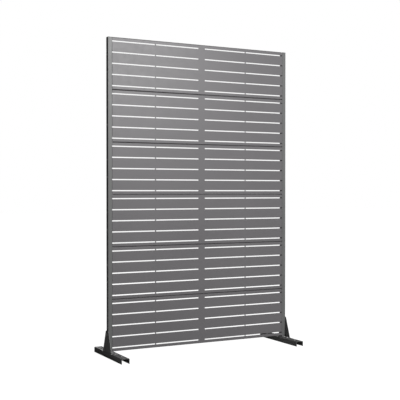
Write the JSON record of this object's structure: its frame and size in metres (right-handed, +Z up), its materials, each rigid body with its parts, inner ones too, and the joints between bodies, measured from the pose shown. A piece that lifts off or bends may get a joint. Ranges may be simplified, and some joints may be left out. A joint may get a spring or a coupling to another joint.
{
  "type": "slotted display screen",
  "caption": "Free-standing display screen of stacked slotted steel panels between two posts on channel feet, which holds hooks and brackets in its slots.",
  "frame": {"origin": "on the floor, midway between the posts and at their mid-depth", "axes": "+Z up, -Y the way the slotted face looks, +X to the right of someone who looks at the face"},
  "size_m": [1.2168, 0.423, 1.8372],
  "materials": {
    "panel_paint": "satin powder coat, dark grey",
    "frame_paint": "satin powder coat, dark grey",
    "bolt_steel": "zinc plated",
    "cap_plastic": "moulded, fine grain"
  },
  "bodies": {
    "root": {"panel_1": "panel_paint", "panel_2": "panel_paint", "panel_3": "panel_paint", "panel_4": "panel_paint", "panel_5": "panel_paint", "panel_6": "panel_paint", "post_left": "frame_paint", "post_cap_left": "cap_plastic", "foot_left": "frame_paint", "foot_bracket_left": "frame_paint", "side_bolt_left_1": "bolt_steel", "side_bolt_left_2": "bolt_steel", "side_bolt_left_3": "bolt_steel", "side_bolt_left_4": "bolt_steel", "side_bolt_left_5": "bolt_steel", "side_bolt_left_6": "bolt_steel", "side_bolt_left_7": "bolt_steel", "side_bolt_left_8": "bolt_steel", "side_bolt_left_9": "bolt_steel", "side_bolt_left_10": "bolt_steel", "side_bolt_left_11": "bolt_steel", "side_bolt_left_12": "bolt_steel", "bracket_bolt_left_1": "bolt_steel", "bracket_bolt_left_2": "bolt_steel", "bracket_bolt_left_3": "bolt_steel", "bracket_bolt_left_4": "bolt_steel", "foot_screw_left_front": "bolt_steel", "foot_screw_left_rear": "bolt_steel", "post_right": "frame_paint", "post_cap_right": "cap_plastic", "foot_right": "frame_paint", "foot_bracket_right": "frame_paint", "side_bolt_right_1": "bolt_steel", "side_bolt_right_2": "bolt_steel", "side_bolt_right_3": "bolt_steel", "side_bolt_right_4": "bolt_steel", "side_bolt_right_5": "bolt_steel", "side_bolt_right_6": "bolt_steel", "side_bolt_right_7": "bolt_steel", "side_bolt_right_8": "bolt_steel", "side_bolt_right_9": "bolt_steel", "side_bolt_right_10": "bolt_steel", "side_bolt_right_11": "bolt_steel", "side_bolt_right_12": "bolt_steel", "bracket_bolt_right_1": "bolt_steel", "bracket_bolt_right_2": "bolt_steel", "bracket_bolt_right_3": "bolt_steel", "bracket_bolt_right_4": "bolt_steel", "foot_screw_right_front": "bolt_steel", "foot_screw_right_rear": "bolt_steel"}
  },
  "joints": []
}
